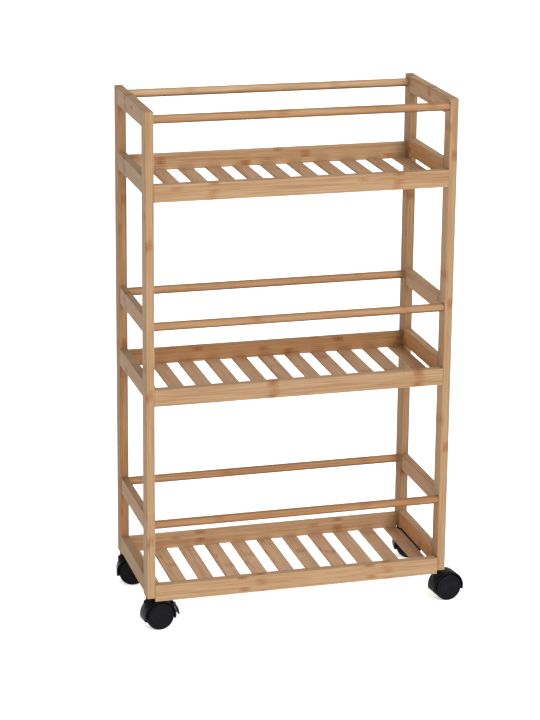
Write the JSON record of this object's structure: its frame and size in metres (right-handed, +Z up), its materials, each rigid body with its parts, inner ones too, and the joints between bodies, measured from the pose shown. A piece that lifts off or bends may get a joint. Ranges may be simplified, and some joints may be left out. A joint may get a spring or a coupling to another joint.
{
  "type": "rolling utility cart",
  "caption": "Narrow bamboo rolling cart with slatted trays, round guard rods and twin-wheel swivel casters.",
  "frame": {"origin": "floor, under the middle of the whole cart's box, casters included", "axes": "+X to the right along the trays, +Y to the rear, +Z up"},
  "size_m": [0.4836, 0.2014, 0.75],
  "materials": {
    "bamboo_frame": "satin clear lacquer on laminated bamboo",
    "bamboo_slat": "satin clear lacquer on bamboo",
    "bamboo_rod": "satin clear lacquer on turned bamboo",
    "beech_dowel": "plain, glued",
    "steel": "zinc plated",
    "brass": "plain",
    "caster_hood": "fine satin, black",
    "caster_wheel": "satin, black",
    "brake_lever": "fine satin, black"
  },
  "bodies": {
    "root": {"post_front_left": "bamboo_frame", "post_front_right": "bamboo_frame", "post_rear_left": "bamboo_frame", "post_rear_right": "bamboo_frame", "guard_rail_left_bottom": "bamboo_frame", "side_board_left_bottom": "bamboo_frame", "guard_rail_left_middle": "bamboo_frame", "side_board_left_middle": "bamboo_frame", "guard_rail_left_top": "bamboo_frame", "side_board_left_top": "bamboo_frame", "guard_rail_right_bottom": "bamboo_frame", "side_board_right_bottom": "bamboo_frame", "guard_rail_right_middle": "bamboo_frame", "side_board_right_middle": "bamboo_frame", "guard_rail_right_top": "bamboo_frame", "side_board_right_top": "bamboo_frame", "front_board_bottom": "bamboo_frame", "front_board_middle": "bamboo_frame", "front_board_top": "bamboo_frame", "rear_board_bottom": "bamboo_frame", "rear_board_middle": "bamboo_frame", "rear_board_top": "bamboo_frame", "slats_bottom": "bamboo_slat", "slats_middle": "bamboo_slat", "slats_top": "bamboo_slat", "front_rod_bottom": "bamboo_rod", "rear_rod_bottom": "bamboo_rod", "front_rod_middle": "bamboo_rod", "rear_rod_middle": "bamboo_rod", "front_rod_top": "bamboo_rod", "rear_rod_top": "bamboo_rod", "side_frame_dowels": "beech_dowel", "tray_board_dowels": "beech_dowel", "slat_brads": "steel", "caster_front_left_stem": "steel", "caster_front_right_stem": "steel", "caster_rear_left_stem": "steel", "caster_rear_right_stem": "steel", "caster_inserts": "brass"},
    "swivel_front_left": {"caster_front_left_hood": "caster_hood", "caster_front_left_axle": "steel", "caster_front_left_brake_pin": "steel"},
    "wheel_front_left_left": {"caster_front_left_left_wheel": "caster_wheel"},
    "wheel_front_left_right": {"caster_front_left_right_wheel": "caster_wheel"},
    "brake_front_left": {"caster_front_left_brake_lever": "brake_lever"},
    "swivel_front_right": {"caster_front_right_hood": "caster_hood", "caster_front_right_axle": "steel"},
    "wheel_front_right_left": {"caster_front_right_left_wheel": "caster_wheel"},
    "wheel_front_right_right": {"caster_front_right_right_wheel": "caster_wheel"},
    "swivel_rear_left": {"caster_rear_left_hood": "caster_hood", "caster_rear_left_axle": "steel", "caster_rear_left_brake_pin": "steel"},
    "wheel_rear_left_left": {"caster_rear_left_left_wheel": "caster_wheel"},
    "wheel_rear_left_right": {"caster_rear_left_right_wheel": "caster_wheel"},
    "brake_rear_left": {"caster_rear_left_brake_lever": "brake_lever"},
    "swivel_rear_right": {"caster_rear_right_hood": "caster_hood", "caster_rear_right_axle": "steel"},
    "wheel_rear_right_left": {"caster_rear_right_left_wheel": "caster_wheel"},
    "wheel_rear_right_right": {"caster_rear_right_right_wheel": "caster_wheel"}
  },
  "joints": [
    {"name": "front_left_swivel", "type": "hinge", "parent": "root", "child": "swivel_front_left", "pos_m": [-0.2293, -0.08796, 0.049], "axis": [0, 0, 1], "continuous": true},
    {"name": "front_left_left_wheel_spin", "type": "hinge", "parent": "swivel_front_left", "child": "wheel_front_left_left", "pos_m": [-0.21731, -0.07893, 0.02], "axis": [-0.1219, 0.9925, 0], "continuous": true},
    {"name": "front_left_right_wheel_spin", "type": "hinge", "parent": "swivel_front_left", "child": "wheel_front_left_right", "pos_m": [-0.21549, -0.09382, 0.02], "axis": [-0.1219, 0.9925, 0], "continuous": true},
    {"name": "front_left_brake", "type": "hinge", "parent": "swivel_front_left", "child": "brake_front_left", "pos_m": [-0.19591, -0.08386, 0.03613], "axis": [-0.1219, 0.9925, 0], "range_deg": [0, 10]},
    {"name": "front_right_swivel", "type": "hinge", "parent": "root", "child": "swivel_front_right", "pos_m": [0.2037, -0.08796, 0.049], "axis": [0, 0, 1], "continuous": true},
    {"name": "front_right_left_wheel_spin", "type": "hinge", "parent": "swivel_front_right", "child": "wheel_front_right_left", "pos_m": [0.21569, -0.07893, 0.02], "axis": [-0.1219, 0.9925, 0], "continuous": true},
    {"name": "front_right_right_wheel_spin", "type": "hinge", "parent": "swivel_front_right", "child": "wheel_front_right_right", "pos_m": [0.21751, -0.09382, 0.02], "axis": [-0.1219, 0.9925, 0], "continuous": true},
    {"name": "rear_left_swivel", "type": "hinge", "parent": "root", "child": "swivel_rear_left", "pos_m": [-0.2293, 0.08754, 0.049], "axis": [0, 0, 1], "continuous": true},
    {"name": "rear_left_left_wheel_spin", "type": "hinge", "parent": "swivel_rear_left", "child": "wheel_rear_left_left", "pos_m": [-0.2152, 0.09267, 0.02], "axis": [0.1736, 0.9848, 0], "continuous": true},
    {"name": "rear_left_right_wheel_spin", "type": "hinge", "parent": "swivel_rear_left", "child": "wheel_rear_left_right", "pos_m": [-0.2178, 0.07789, 0.02], "axis": [0.1736, 0.9848, 0], "continuous": true},
    {"name": "rear_left_brake", "type": "hinge", "parent": "swivel_rear_left", "child": "brake_rear_left", "pos_m": [-0.19617, 0.08169, 0.03613], "axis": [0.1736, 0.9848, 0], "range_deg": [0, 10]},
    {"name": "rear_right_swivel", "type": "hinge", "parent": "root", "child": "swivel_rear_right", "pos_m": [0.2037, 0.08754, 0.049], "axis": [0, 0, 1], "continuous": true},
    {"name": "rear_right_left_wheel_spin", "type": "hinge", "parent": "swivel_rear_right", "child": "wheel_rear_right_left", "pos_m": [0.2178, 0.09267, 0.02], "axis": [0.1736, 0.9848, 0], "continuous": true},
    {"name": "rear_right_right_wheel_spin", "type": "hinge", "parent": "swivel_rear_right", "child": "wheel_rear_right_right", "pos_m": [0.2152, 0.07789, 0.02], "axis": [0.1736, 0.9848, 0], "continuous": true}
  ]
}
